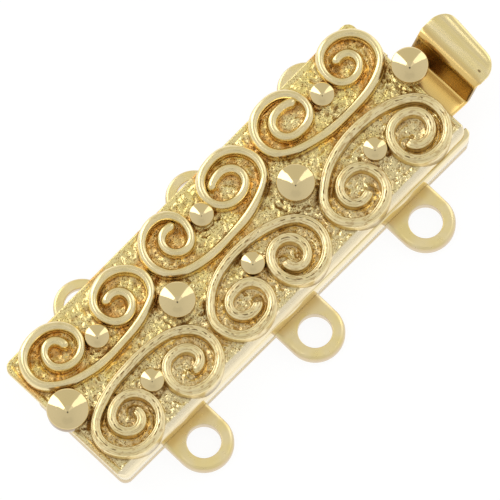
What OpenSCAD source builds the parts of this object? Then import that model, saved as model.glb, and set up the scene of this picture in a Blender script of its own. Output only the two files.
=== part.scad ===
// Multi-strand slide clasp, closed. Millimetres, +Z up.
// The origin is on the flat underside of the box, below the middle of the ornament
// plate. The thumb tab points to +X, the rings of the box to -Y and the rings of the
// tongue to +Y.

/* [Box] */
// Length of the box, without balls and thumb tab
box_l = 27; // [26:0.5:34]
// Shift of the box along the ornament plate, as the soldering left it
box_x = 0.25; // [0:0.05:0.3]
// Far side of the box, on the side of its own rings
box_y0 = -4.55; // [-5:0.05:-4.2]
// Near side of the box, under the overhanging ornament plate
box_y1 = 2.35; // [2.2:0.05:2.8]
// Thickness of the base plate and its rings
base_t = 0.65; // [0.5:0.05:0.8]
// Height from the underside of the box to the underside of the ornament plate
box_h = 2.3; // [2.3:0.05:2.8]
// Thickness of the folded walls
wall_t = 0.5; // [0.4:0.05:0.6]
// Radius of the corners of the box and the ornament plate
corner_r = 0.5; // [0.2:0.1:0.8]
// Solder-thin gap between two pieces of the box
seam = 0.02; // [0.01:0.01:0.05]

/* [Rings] */
// Distance from one ring to the next, as the strands lie
ring_pitch = 8.65; // [8.2:0.05:9.5]
// Radius of the hole in a ring of the box
ring_hole_r = 0.95; // [0.6:0.05:1.1]
// Outer radius of a ring of the box
ring_r = 1.65; // [1.5:0.05:1.8]
// Place of the box's middle ring, along the box
ring_x = 0.1; // [-0.2:0.1:0.2]
// Distance of the box's hole centres from its side
ring_reach = 1.35; // [1.3:0.05:1.8]
// Radius of the hole in a ring of the tongue
tongue_hole_r = 1.05; // [0.6:0.05:1.1]
// Outer radius of a ring of the tongue
tongue_ring_r = 1.6; // [1.5:0.05:1.8]

/* [Ornament plate] */
// Length of the ornament plate
plate_l = 27.1; // [27:0.1:28.2]
// Width of the ornament plate
plate_w = 9.05; // [9:0.05:9.6]
// Thickness of the ornament plate up to its rough ground
plate_t = 0.6; // [0.5:0.05:0.9]
// Turn of the ornament plate on the box in degrees, as the soldering left it
plate_turn = 0.6; // [0:0.1:1]
// Width of the raised scroll wires
wire_w = 0.56; // [0.4:0.02:0.6]
// Height of the scroll wires above the ground
wire_h = 0.8; // [0.5:0.05:1]
// Radius of the four balls on the centre line, give or take a twentieth
ball_r = 1.1; // [0.9:0.02:1.1]
// Height of the large balls above the ground
ball_h = 1.6; // [1.4:0.05:1.7]
// Radius of the six balls inside the scrolls
small_ball_r = 0.68; // [0.5:0.02:0.7]
// Height of the small balls above the ground
small_ball_h = 1.0; // [0.9:0.05:1.1]
// Slope of a ball's flattened top at its rim, in degrees
dome_a = 54; // [45:1:70]

/* [Tongue] */
// Thickness of the tongue's strip and its rings
rail_t = 0.45; // [0.35:0.05:0.45]
// Width of the spring leaf and its thumb tab
leaf_w = 4.5; // [3.8:0.05:4.8]
// Centre line of the spring leaf, across the box
leaf_y = -0.9; // [-1.1:0.1:-0.7]
// Thickness of the spring leaf
leaf_t = 0.4; // [0.3:0.05:0.4]
// Rise of the relaxed leaf in degrees
leaf_rise = 1.1; // [0.8:0.1:1.1]
// Distance of the tongue's hole centres from the side of the box
tongue_reach = 1.65; // [1.4:0.05:2]
// How far the tongue's rings stand out past those of the box
tongue_out = 0.7; // [0.3:0.05:1]

/* [Thumb tab] */
// Length of the strip that shows outside the box
neck_l = 1.25; // [1.1:0.05:2]
// Dip of that strip towards the riser
neck_dip = 0.3; // [0:0.05:0.4]
// Run of the riser along the box
riser_run = 0.7; // [0.4:0.1:1]
// Height of the thumb tab above the strip
riser_h = 1.55; // [1.2:0.05:1.9]
// Length of the thumb tab, on its centre line
tab_l = 1.85; // [1.6:0.05:3]
// Slant of the thumb tab's outer end in degrees
tab_slant = 5; // [0:0.5:8]
// Radius of the thumb tab's outer corners
tab_r = 1.1; // [0.4:0.1:1.2]

/* [Detail] */
// Steps in one turn of a scroll
turn_steps = 20; // [12:2:24]

/* [Hidden] */

brass = "goldenrod";
pale = "khaki";
// Steps in a quarter of a corner, and overlap of a cut past its face
arc_steps = 6;
past = 1;

// Clearances of the tongue: under its strip, beside and behind it, over its rings, in its fold
rail_clear = 0.05;
side_clear = 0.1;
ring_clear = 0.2;
fold_clear = 0.05;
// Distance of the strip's outer end from the open end of the box
rail_inset = 0.3;
// Radius of the round edge on which the leaf turns in its fold
barrel_r = 0.25;

// Places of the box's closed and open ends, the strip, the fold and the slot
box_x0 = box_x - box_l / 2;
box_x1 = box_x + box_l / 2;
rail_z = base_t + rail_clear;
rail_x1 = box_x1 - rail_inset;
rail_y0 = box_y0 + wall_t + side_clear;
rail_y1 = box_y1 - wall_t - side_clear;
fold_in_r = barrel_r + fold_clear;
fold_out_r = fold_in_r + rail_t;
fold_z = rail_z + fold_out_r;
fold_x = box_x0 + wall_t + side_clear + fold_out_r;
tongue_x = ring_x + tongue_out;
slot_x = tongue_x - ring_pitch - tongue_ring_r - side_clear;
slot_top = rail_z + rail_t + ring_clear;

// Places of the leaf: mouth of the box, end of the strip, riser, thumb tab, and its two sides
mouth_z = fold_z + (box_x1 - fold_x) * tan(leaf_rise);
neck_x = box_x1 + neck_l;
neck_z = mouth_z - neck_dip;
riser_x = neck_x + riser_run;
tab_z = neck_z + riser_h;
leaf_y0 = leaf_y - leaf_w / 2;
leaf_y1 = leaf_y + leaf_w / 2;
tab_x = riser_x + tab_l;
tab_lean = leaf_w / 2 * tan(tab_slant);
// Upper side of the thumb tab. Columns: share of its length, rise
TAB_TOP = [[0, 0], [0.25, -0.05], [0.5, 0], [0.75, 0], [0.85, 0.04], [1, 0.02]];

// The spirals, two to a scroll, one row each, read from the front.
// Columns: eye along the plate, eye across it, radius at each quarter turn from the
// backbone inwards (8 columns), angle of the wire's end.
SPIRALS = [
    [[-11.00, 2.75, 1.35, 2.05, 1.60, 1.45, 0.90, 0.80, 0.80, 0.50, 650],
     [-7.00, 2.45, 1.40, 2.30, 1.40, 0.95, 0.95, 0.90, 0.50, 0.45, 590]],
    [[-1.95, 2.70, 2.05, 2.05, 1.50, 0.90, 0.90, 0.85, 0.65, 0.70, 558],
     [2.05, 2.75, 1.85, 2.25, 1.50, 1.25, 1.00, 1.10, 0.70, 0.85, 585]],
    [[7.25, 2.75, 1.30, 2.25, 1.65, 1.15, 0.80, 1.15, 0.85, 1.00, 558],
     [11.40, 2.75, 1.80, 2.05, 1.55, 1.05, 0.85, 0.85, 0.55, 0.60, 580]],
    [[-10.90, -2.40, 1.30, 2.10, 1.85, 1.45, 0.95, 0.95, 0.85, 0.45, 640],
     [-6.95, -2.70, 2.05, 2.20, 1.55, 1.00, 0.95, 1.15, 0.35, 0.40, 520]],
    [[-1.80, -2.50, 1.50, 2.20, 1.60, 1.15, 0.80, 1.05, 0.75, 0.50, 582],
     [1.70, -2.45, 1.70, 2.10, 1.75, 1.25, 0.95, 0.90, 0.90, 0.50, 635]],
    [[7.15, -2.60, 1.50, 2.35, 1.60, 1.10, 1.10, 1.20, 0.55, 0.55, 560],
     [11.30, -2.40, 1.75, 1.90, 1.85, 1.35, 1.00, 1.10, 1.00, 0.65, 612]]
];
// How far each scroll's wire runs on from its two spirals before it bends into the
// backbone. Columns: from the left spiral, from the right one.
BACKBONES = [[2.6, 1.0], [1.9, 1.5], [1.8, 1.8], [1.6, 2.0], [2.8, 1.5], [3.2, 1.6]];
// Columns: place along the plate, place across it, share of the common radius
BALLS = [[-12.95, 0.1, 1.05], [-4.5, 0.1, 0.95], [4.7, 0, 1], [13.8, 0.1, 0.96]];
// Columns: place along the plate, place across it
SMALL_BALLS = [[-8.9, 1.9], [-0.05, 2.55], [9.4, 2.5], [-8.6, -1.95], [-0.1, -1.35], [9.15, -1.7]];
// Angle at which a spiral runs into its backbone, angle that tells its direction there,
// and the steps of the backbone
backbone_a = 60;
heading_a = 1;
backbone_steps = 10;
// Section of a wire: share of its width at the crest, share of its height at the shoulder
crest_share = 0.4;
shoulder_share = 0.55;
// Depth of the feet of wires and balls in the plate, and of a ring's tab in its strip
wire_sink = 0.15;
ring_root = 0.3;

// Rectangle with round corners, from corner to corner
module round_plate(x0, y0, x1, y1, r, h) {
    corners = [[x1 - r, y1 - r, 0], [x0 + r, y1 - r, 90], [x0 + r, y0 + r, 180], [x1 - r, y0 + r, 270]];
    linear_extrude(h)
        polygon([for (c = corners) for (i = [0 : arc_steps])
            let (a = c[2] + 90 * i / arc_steps) [c[0] + r * cos(a), c[1] + r * sin(a)]]);
}

// Three flat rings on tabs, reaching from the line y = foot to their hole centres
module ring_row(x, foot, y, t, r, hole_r) {
    for (i = [-1 : 1]) translate([x + i * ring_pitch, 0, 0]) difference() {
        union() {
            translate([0, y, 0]) cylinder(h = t, r = r, $fn = 64);
            translate([-r, min(foot, y), 0]) cube([2 * r, abs(y - foot), t]);
        }
        translate([0, y, -past]) cylinder(h = t + 2 * past, r = hole_r, $fn = 64);
    }
}

// Outline in x and z, extruded across the box between two y
module across(y0, y1) {
    translate([0, y1, 0]) rotate([90, 0, 0]) linear_extrude(y1 - y0) children();
}

// Radius of a spiral at an angle inwards from its backbone, a cubic through the quarter turns
function quarter_radius(row, k) = row[2 + max(0, min(7, k))];
function spiral_radius(row, a) =
    let (k = floor(a / 90), t = a / 90 - k,
         r0 = quarter_radius(row, k - 1), r1 = quarter_radius(row, k),
         r2 = quarter_radius(row, k + 1), r3 = quarter_radius(row, k + 2))
    r1 + t * (r2 - r0 + t * (2 * r0 - 5 * r1 + 4 * r2 - r3 + t * (3 * r1 - r0 - 3 * r2 + r3))) / 2;

// Point of a spiral: side is -1 on the left and 1 on the right, far is the way its scroll opens
function spiral_point(row, side, far, a) =
    let (r = spiral_radius(row, a)) [row[0] + side * r * sin(a), row[1] - far * r * cos(a)];
function spiral(row, side, far) =
    let (step = 360 / turn_steps, turned = row[10] - backbone_a, n = ceil(turned / step))
    [for (i = [0 : n]) spiral_point(row, side, far, backbone_a + turned * i / n)];

function unit(v) = v / norm(v);
function bezier(p, t) =
    pow(1 - t, 3) * p[0] + 3 * t * pow(1 - t, 2) * p[1] + 3 * t * t * (1 - t) * p[2] + pow(t, 3) * p[3];

// Where a spiral's wire would be if it ran straight on from its backbone end
function run_on(row, side, far, reach) =
    let (p = spiral_point(row, side, far, backbone_a))
    p + reach * unit(p - spiral_point(row, side, far, backbone_a + heading_a));

// Crest line of a whole scroll: left spiral from its end outwards, backbone, right spiral inwards
function scroll_line(rows, reaches, far) =
    let (left = spiral(rows[0], -1, far), right = spiral(rows[1], 1, far),
         from_left = run_on(rows[0], -1, far, reaches[0]),
         from_right = run_on(rows[1], 1, far, reaches[1]),
         bend = [left[0], from_left, from_right, right[0]])
    concat([for (i = [len(left) - 1 : -1 : 0]) left[i]],
           [for (i = [1 : backbone_steps - 1]) bezier(bend, i / backbone_steps)],
           right);

// Raised wire along a line: six-sided section with a narrow crest, sunk into the plate
module raised_wire(line) {
    n = len(line);
    foot = wire_w / 2;
    crest = crest_share * wire_w / 2;
    shoulder = shoulder_share * wire_h;
    section = [[-foot, -wire_sink], [-foot, shoulder], [-crest, wire_h],
               [crest, wire_h], [foot, shoulder], [foot, -wire_sink]];
    m = len(section);
    rings = [for (i = [0 : n - 1])
        let (t = unit(line[min(i + 1, n - 1)] - line[max(i - 1, 0)]))
        for (s = section)
            [line[i][0] + t[1] * s[0], line[i][1] - t[0] * s[0], s[1]]];
    sides = [for (i = [0 : n - 2]) for (j = [0 : m - 1])
        let (k = (j + 1) % m) each [[i * m + j, (i + 1) * m + j, (i + 1) * m + k],
                                    [i * m + j, (i + 1) * m + k, i * m + k]]];
    caps = [[for (j = [0 : m - 1]) j], [for (j = [m - 1 : -1 : 0]) (n - 1) * m + j]];
    polyhedron(rings, concat(sides, caps), convexity = 10);
}

// Flattened ball: the cap of a larger sphere on a round foot
module dome(r, h) {
    cap_r = r / sin(dome_a);
    intersection() {
        translate([0, 0, h - cap_r]) sphere(r = cap_r, $fn = 64);
        translate([0, 0, -wire_sink]) cylinder(h = h + wire_sink, r = r, $fn = 48);
    }
}

module base_plate() {
    color(pale) {
        round_plate(box_x0, box_y0, box_x1, box_y1, corner_r, base_t);
        ring_row(ring_x, box_y0 + ring_root, box_y0 - ring_reach, base_t, ring_r, ring_hole_r);
    }
}

module box_shell() {
    z0 = base_t + seam;
    z1 = box_h - seam;
    color(brass)
    difference() {
        translate([0, 0, z0]) round_plate(box_x0, box_y0, box_x1, box_y1, corner_r, z1 - z0);
        // hollow for the tongue, open at the thumb end
        translate([box_x0 + wall_t, box_y0 + wall_t, z0 - past])
            cube([box_l, box_y1 - box_y0 - 2 * wall_t, z1 - z0 + 2 * past]);
        // slot for the tongue's rings, open at the thumb end
        translate([slot_x, box_y1 - wall_t - past, z0 - past])
            cube([box_l, wall_t + 2 * past, slot_top - z0 + past]);
    }
}

module ornament_plate() {
    color(brass)
    rotate([0, 0, plate_turn]) translate([0, 0, box_h]) {
        round_plate(-plate_l / 2, -plate_w / 2, plate_l / 2, plate_w / 2, corner_r, plate_t);
        translate([0, 0, plate_t]) {
            for (i = [0 : len(SPIRALS) - 1])
                raised_wire(scroll_line(SPIRALS[i], BACKBONES[i], i < len(SPIRALS) / 2 ? 1 : -1));
            for (b = BALLS) translate([b[0], b[1], 0]) dome(b[2] * ball_r, ball_h);
            for (b = SMALL_BALLS) translate([b[0], b[1], 0]) dome(small_ball_r, small_ball_h);
        }
    }
}

module tongue_rail() {
    color(pale) {
        // strip and rings
        translate([fold_x, rail_y0, rail_z]) cube([rail_x1 - fold_x, rail_y1 - rail_y0, rail_t]);
        translate([0, 0, rail_z])
            ring_row(tongue_x, rail_y1 - ring_root, box_y1 + tongue_reach, rail_t,
                     tongue_ring_r, tongue_hole_r);
        // fold that holds the leaf's inner end
        across(leaf_y0, leaf_y1) translate([fold_x, fold_z]) difference() {
            circle(r = fold_out_r, $fn = 64);
            circle(r = fold_in_r, $fn = 48);
            translate([0, -fold_out_r - past]) square(2 * (fold_out_r + past));
        }
    }
}

module tongue_leaf() {
    half_t = leaf_t / 2;
    // upper outline in x and z from the fold to the tip, then the lower one back
    top = concat([[fold_x, fold_z + half_t], [box_x1, mouth_z + half_t], [neck_x, neck_z + half_t]],
                 [for (p = TAB_TOP) [riser_x + p[0] * tab_l, tab_z + half_t + p[1]]],
                 [[tab_x + past, tab_z + half_t]]);
    bottom = [[tab_x + past, tab_z - half_t], [riser_x + half_t, tab_z - half_t],
              [neck_x + half_t, neck_z - half_t], [box_x1, mouth_z - half_t], [fold_x, fold_z - half_t]];
    color(pale) {
        intersection() {
            across(leaf_y0, leaf_y1) polygon(concat(top, bottom));
            // round corners of the thumb tab
            linear_extrude(tab_z + past) offset(r = tab_r, $fn = 48) offset(delta = -tab_r)
                polygon([[fold_x - tab_r, leaf_y0], [tab_x - tab_lean, leaf_y0],
                         [tab_x + tab_lean, leaf_y1], [fold_x - tab_r, leaf_y1]]);
        }
        across(leaf_y0, leaf_y1) translate([fold_x, fold_z]) circle(r = barrel_r, $fn = 32);
    }
}

base_plate();
box_shell();
ornament_plate();
tongue_rail();
tongue_leaf();
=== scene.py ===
import math

import bpy
import numpy as np
from mathutils import Matrix, Vector
from mathutils.geometry import delaunay_2d_cdt
from mathutils.kdtree import KDTree


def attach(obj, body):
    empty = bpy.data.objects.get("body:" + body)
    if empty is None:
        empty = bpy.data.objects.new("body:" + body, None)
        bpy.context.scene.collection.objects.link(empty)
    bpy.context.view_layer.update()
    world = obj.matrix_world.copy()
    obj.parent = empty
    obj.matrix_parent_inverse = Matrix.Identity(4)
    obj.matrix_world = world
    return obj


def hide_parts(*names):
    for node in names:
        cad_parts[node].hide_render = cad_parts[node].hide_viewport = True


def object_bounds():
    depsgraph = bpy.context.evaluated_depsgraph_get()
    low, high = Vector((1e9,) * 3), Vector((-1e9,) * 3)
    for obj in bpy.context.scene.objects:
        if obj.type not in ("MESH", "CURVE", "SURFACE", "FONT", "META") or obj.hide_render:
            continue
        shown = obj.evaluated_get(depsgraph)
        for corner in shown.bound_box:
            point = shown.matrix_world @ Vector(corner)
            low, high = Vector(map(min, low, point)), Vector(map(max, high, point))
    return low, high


# A three-strand slide clasp: cast scroll plate on a folded box, with a spring tongue pushed home.
# Sizes in the dictionaries are millimetres in the frame of the CAD model. mm makes them metres.
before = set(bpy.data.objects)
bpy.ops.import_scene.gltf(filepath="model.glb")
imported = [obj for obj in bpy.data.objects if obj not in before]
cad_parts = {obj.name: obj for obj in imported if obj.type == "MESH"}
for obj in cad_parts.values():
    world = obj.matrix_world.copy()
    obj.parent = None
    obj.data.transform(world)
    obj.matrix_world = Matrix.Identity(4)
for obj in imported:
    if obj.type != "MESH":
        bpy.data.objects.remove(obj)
cadLow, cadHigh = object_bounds()
mm = 0.001
print("frame loaded:", ", ".join(sorted(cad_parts)))

# Camera

photo = {
    "azimuth": -45.5,           # degrees, 0 looks along +Y
    "elevation": 74.54,
    "roll": -0.19,
    "scale": 18.324,            # pixels of the 500 pixel frame to a millimetre of the clasp
    "frameSize": 500,
    "sensor": 36.0,
    "distance": 600.0,          # so far that the view has no visible perspective
    "right": 0.75,              # picture centre from the origin, along the picture's axes
    "up": 0.67,
}


def cameraAxes(view):
    azimuth = math.radians(view["azimuth"])
    elevation = math.radians(view["elevation"])
    level = math.cos(elevation)
    back = Vector((math.sin(azimuth) * level, -math.cos(azimuth) * level, math.sin(elevation)))
    right = Vector((math.cos(azimuth), math.sin(azimuth), 0))
    return right, back.cross(right), back


def addCamera(view):
    right, up, back = cameraAxes(view)
    data = bpy.data.cameras.new("camera")
    data.sensor_width = view["sensor"]
    data.lens = view["scale"] * view["distance"] * view["sensor"] / view["frameSize"]
    camera = bpy.data.objects.new("camera", data)
    bpy.context.scene.collection.objects.link(camera)
    facing = Matrix((right, up, back)).transposed()
    facing = facing @ Matrix.Rotation(math.radians(view["roll"]), 3, "Z")
    camera.rotation_mode = "QUATERNION"
    camera.rotation_quaternion = facing.to_quaternion()
    place = back * view["distance"] + right * view["right"] + up * view["up"]
    camera.location = place * mm
    bpy.context.scene.camera = camera
    return right, up, back


viewRight, viewUp, viewBack = addCamera(photo)
print("camera placed")

# Shader maths


class Signal:
    # a value or colour on its way through a node tree

    def __init__(self, graph, socket):
        self.graph = graph
        self.socket = socket

    def __add__(self, other):
        return self.graph.maths("ADD", self, other)

    __radd__ = __add__

    def __sub__(self, other):
        return self.graph.maths("SUBTRACT", self, other)

    def __rsub__(self, other):
        return self.graph.maths("SUBTRACT", other, self)

    def __mul__(self, other):
        return self.graph.maths("MULTIPLY", self, other)

    __rmul__ = __mul__

    def __abs__(self):
        return self.graph.maths("ABSOLUTE", self, 0)

    def step(self, low, high):
        # 0 below low, 1 above high and a soft rise between them
        settings = {"interpolation_type": "SMOOTHSTEP"}
        inputs = {0: self, 1: low, 2: high, 3: 0.0, 4: 1.0}
        return self.graph.node("ShaderNodeMapRange", settings, inputs)


class Graph:
    # builds the node tree of one material or world

    def __init__(self, owner):
        owner.use_nodes = True
        self.tree = owner.node_tree
        self.tree.nodes.clear()

    def node(self, kind, settings=None, inputs=None, output=0):
        made = self.tree.nodes.new(kind)
        for name, value in (settings or {}).items():
            setattr(made, name, value)
        for name, value in (inputs or {}).items():
            if isinstance(value, Signal):
                self.tree.links.new(value.socket, made.inputs[name])
            else:
                made.inputs[name].default_value = value
        return Signal(self, made.outputs[output]) if made.outputs else None

    def maths(self, operation, first, second):
        return self.node("ShaderNodeMath", {"operation": operation}, {0: first, 1: second})

    def mixColor(self, share, first, second):
        inputs = {0: share, 6: first, 7: second}
        return self.node("ShaderNodeMix", {"data_type": "RGBA"}, inputs, 2)

    def dot(self, vector, axis):
        settings = {"operation": "DOT_PRODUCT"}
        return self.node("ShaderNodeVectorMath", settings, {0: vector, 1: tuple(axis)}, "Value")

    def noise(self, place, size, detail=2.0, roughness=0.5):
        # fractal noise around 0.5, with size in millimetres
        inputs = {"Vector": place, "Scale": 1 / (size * mm), "Detail": detail}
        inputs["Roughness"] = roughness
        return self.node("ShaderNodeTexNoise", {}, inputs, "Fac")

    def attribute(self, name, output="Fac"):
        return self.node("ShaderNodeAttribute", {"attribute_name": name}, {}, output)

    def bump(self, height, depth):
        inputs = {"Height": height, "Distance": depth * mm, "Strength": 1.0}
        return self.node("ShaderNodeBump", {}, inputs)


# Materials

gold = {
    "pale": (0.94, 0.79, 0.45, 1),      # polished plate on walls and wires
    "warm": (0.94, 0.77, 0.35, 1),      # satin plate on stamped sheet
    "olive": (0.88, 0.74, 0.39, 1),     # plate on drawn wire
    "bright": (1.0, 0.82, 0.30, 1),     # thick plate on the cast ground
    "ball": (0.83, 0.67, 0.355, 1),     # polished balls
    "edgeShade": (0.66, 0.53, 0.36, 1),      # painted shade on the steep and rounded faces of the stamped sheet
    "cream": (0.98, 0.86, 0.60, 1),     # painted sheen on the plate's rolled edge
    "brown": (0.88, 0.48, 0.14, 1),     # painted shade in the recesses between wires
    "deep": (0.48, 0.28, 0.09, 1),      # marks on wires and balls; painted shade in the ground's hollows and pits and at the wall's foot
    "dark": (0.24, 0.13, 0.04, 1),      # painted shade in creases, at the wires' feet, under the balls' rims and inside the box; also open seams and a dark spot
    "paintedShade": (0.21, 0.12, 0.065, 1),    # painted shade on the spring leaf's riser, in its bends and along the tab's lines
    "warmReflection": (1.0, 0.68, 0.22, 1),     # painted reflection of the surrounding gold on the spring leaf's neck and bends
}


def overlaid(graph, color, *layers):
    # a color under layers of other golds, each with the share that it covers
    for share, name in layers:
        color = graph.mixColor(share, color, gold[name])
    return color


def metal(name, build):
    material = bpy.data.materials.new(name)
    graph = Graph(material)
    place = graph.node("ShaderNodeTexCoord", {}, {}, "Object")
    color, roughness, normal = build(graph, place)
    inputs = {"Base Color": color, "Metallic": 1.0, "Roughness": roughness, "Normal": normal}
    surface = graph.node("ShaderNodeBsdfPrincipled", {}, inputs)
    graph.node("ShaderNodeOutputMaterial", {}, {"Surface": surface})
    return material


boxInside = {
    "low": (-12.8, -4.1, 0.6),      # its corners in millimetres
    "high": (13.72, 1.9, 2.34),
    "blur": 0.03,
    "dark": 0.9,                    # strength of the painted shade inside the box
}


def insideBox(graph, place):
    # 1 on the faces that look into the box: painted shade there, and a duller finish
    mask, blur = 1.0, boxInside["blur"]
    for axis, low, high in zip(np.eye(3), boxInside["low"], boxInside["high"]):
        distance = graph.dot(place, axis / mm)
        mask = mask * distance.step(low, low + blur) * (1 - distance.step(high - blur, high))
    return mask


castFinish = {
    "grain": 0.07,
    "depth": 0.012,
    "roughness": 0.13,
    "spread": 0.14,
    "pit": 0.075,
    "pitLevel": (0.60, 0.70),   # noise levels where a pit begins and where it is full
    "pitDepth": 0.03,
    "pitRoughness": 0.2,    # added to the roughness
    "hollowRoughness": 0.15,
    "cloud": 1.6,           # size of the slow changes in colour and relief
    "patch": 0.7,           # size of the gaps in the painted shade of recesses and creases
    "recessGaps": (0.25, 0.6),  # noise levels from a gap to full dark, in the recesses
    "creaseGaps": (0.2, 0.65),  # and along the wires
    "lively": (-2.2, 0.6),  # across the plate, from the calm ground to the lively one
    "stray": 3.0,           # how far the clouds shift that border
    "calm": 0.4,            # relief of the calm ground, as a share of the lively one's
    "smooth": 0.85,         # share of the relief that the rim lacks
    "dark": 0.75,           # strength of the painted shade in pits and creases
    # strength of the painted shade in hollows
    "hollowDark": 0.6,
}


def castGround(graph, place):
    # crinkled ground: fine grain, scattered casting pits; painted shade in hollows, pits, recesses,
    # along the wires and inside the box; a painted sheen on the rim
    hollow, creaseShade, recess, rim = map(graph.attribute, ("hollow", "creaseShade", "recess", "rim"))
    grain = graph.noise(place, castFinish["grain"], 3.0, 0.6)
    pits = graph.noise(place, castFinish["pit"], 1.0).step(*castFinish["pitLevel"])
    cloud = graph.noise(place, castFinish["cloud"])
    patch = graph.noise(place, castFinish["patch"])
    across = graph.dot(place, (0, 1 / mm, 0)) + castFinish["stray"] * (cloud - 0.5)
    lively = across.step(*castFinish["lively"])
    brightness = lively * (0.3 + 0.7 * cloud.step(0.35, 0.7))
    # painted shade in recesses, pits, hollows, creases and inside the box; a painted sheen on the
    # rim
    color = overlaid(graph, gold["olive"], (brightness, "bright"),
                     (recess * patch.step(*castFinish["recessGaps"]), "brown"),
                     (pits * castFinish["dark"] + hollow * castFinish["hollowDark"], "deep"),
                     (creaseShade * patch.step(*castFinish["creaseGaps"]) * castFinish["dark"], "dark"),
                     (rim, "cream"), (insideBox(graph, place) * boxInside["dark"], "dark"))
    roughness = castFinish["roughness"] + castFinish["spread"] * grain
    roughness = roughness + castFinish["pitRoughness"] * pits
    roughness = roughness + castFinish["hollowRoughness"] * hollow
    calm = castFinish["calm"]
    height = grain * (calm + (1 - calm) * lively)
    height = height - pits * (castFinish["pitDepth"] / castFinish["depth"])
    height = height * (1 - castFinish["smooth"] * rim)
    return color, roughness, graph.bump(height, castFinish["depth"])


wireFinish = {
    "grain": 0.05,
    "cloud": 0.8,
    "depth": 0.0018,
    "roughness": 0.13,
    "spread": 0.2,
    "lineScale": 9.0,       # fine lines along the wire, to a millimetre round it
    "lineLevel": (0.56, 0.64),  # noise levels where their dark begins and where it is full
    "lineDark": (0.15, 0.35),   # strength of it, and what the lower wires add
    "lines": 0.9,           # their depth, as a share of depth
    "foot": (0.62, 1.0),    # share of the way down where the painted shade at the wire's foot begins, and is full
    # strength of the painted shade at the foot
    "footDark": 0.6,
    "lowerLanes": (9, 10),  # the lanes' third value, from the upper wires' to the lower wires'
    "lowerRoughness": 0.08, # added on the lower wires
    # the rest shows on the lower wires alone
    "seamScale": 10.0,      # short open seams
    "seamLevel": (0.50, 0.56),
    "seamGroup": 1.1,       # size of the groups that they come in
    "groupLevel": (0.46, 0.52),
    "seamDepth": 0.03,
    "seamDark": 0.9,
    "crest": (0.02, 0.05),  # the seams end this far from the crest
    "wander": 0.12,         # of seams and deeper lines to the sides
    "drawn": 0.14,          # distance of a deeper line on each side of the crest
    "drawnWidth": (0.008, 0.03),
    "drawnDepth": 3,        # as a share of depth
    "drawnDark": 0.6,
}


def scrollWire(graph, place):
    # drawn wire: faint lines along it, a smooth satin top, painted shade towards its foot
    run = graph.attribute("run", "Vector")
    foot = graph.attribute("foot")
    lower = graph.dot(run, (0, 0, 1)).step(*wireFinish["lowerLanes"])
    inputs = {"Vector": run, "Scale": wireFinish["lineScale"], "Detail": 1.0}
    lines = graph.node("ShaderNodeTexNoise", {}, inputs, "Fac")
    grain = graph.noise(place, wireFinish["grain"], 2.0)
    cloud = graph.noise(place, wireFinish["cloud"])
    inputs = {"Vector": run, "Scale": wireFinish["seamScale"], "Detail": 0.0}
    seams = graph.node("ShaderNodeTexNoise", {}, inputs, "Fac").step(*wireFinish["seamLevel"])
    groups = graph.noise(place, wireFinish["seamGroup"], 0.0).step(*wireFinish["groupLevel"])
    across = graph.dot(run, (0, 1, 0)) + wireFinish["wander"] * (cloud - 0.5)
    near, far = wireFinish["crest"]
    crest = across.step(-far, -near) * (1 - across.step(near, far))
    seams = seams * groups * crest * lower
    drawn = abs(abs(across) - wireFinish["drawn"])
    drawn = (1 - drawn.step(*wireFinish["drawnWidth"])) * lower * cloud.step(0.3, 0.6)
    dark, moreDark = wireFinish["lineDark"]
    faint = (1 - lines).step(*wireFinish["lineLevel"]) * (dark + moreDark * lower)
    # painted shade towards the foot, where the wire meets the ground
    low = (foot * (0.75 + 0.5 * cloud)).step(*wireFinish["foot"])
    color = overlaid(graph, gold["pale"], (cloud.step(0.3, 0.7), "olive"), (faint, "deep"),
                     (drawn * wireFinish["drawnDark"], "deep"),
                     (seams * wireFinish["seamDark"], "dark"),
                     (low * wireFinish["footDark"], "dark"))
    rough = cloud * 0.6 + grain * 0.4
    roughness = wireFinish["roughness"] + wireFinish["spread"] * rough
    roughness = roughness + wireFinish["lowerRoughness"] * lower
    height = grain * 0.4 + lines * wireFinish["lines"] - drawn * wireFinish["drawnDepth"]
    height = height - seams * (wireFinish["seamDepth"] / wireFinish["depth"])
    return color, roughness, graph.bump(height, wireFinish["depth"])


ballFinish = {
    "wave": 0.5,
    "depth": 0.009,
    "roughness": 0.04,
    "spread": 0.05,
    "speck": 0.07,
    "speckLevel": (0.74, 0.8),  # noise levels where a speck begins and where it is full
    "speckDark": 0.6,
    "speckRoughness": 0.2,
    "dark": 0.85,           # strength of the painted shade under the rim
}


def mirrorBall(graph, place):
    # mirror polish with a faint waviness, a few specks and painted shade under the rim
    wave = graph.noise(place, ballFinish["wave"], 1.0)
    speck = graph.noise(place, ballFinish["speck"], 1.0).step(*ballFinish["speckLevel"])
    # painted shade below the ball's widest point
    under = graph.attribute("under") * ballFinish["dark"]
    color = overlaid(graph, gold["ball"], (speck * ballFinish["speckDark"], "deep"),
                     (under, "dark"))
    roughness = ballFinish["roughness"] + ballFinish["spread"] * wave
    roughness = roughness + ballFinish["speckRoughness"] * speck
    return color, roughness, graph.bump(wave - speck * 0.3, ballFinish["depth"])


satinFinish = {
    "wave": 0.9,
    "waveDepth": 0.02,
    "grain": 0.06,
    "depth": 0.003,
    "roughness": 0.24,
    "spread": 0.16,
    "rub": 0.35,
    "rubLevel": (0.55, 0.75),   # noise levels where a rub begins and where it is full
    "rubShine": 0.06,       # taken from the roughness in a rub
    "bareRoughness": 0.3,   # added inside the box
    "edge": 0.85,           # strength of the painted shade on the steep and rounded faces
    "edgeTurn": (0.35, 0.97),   # upright part of the normal, from full painted shade to none
}


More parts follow.
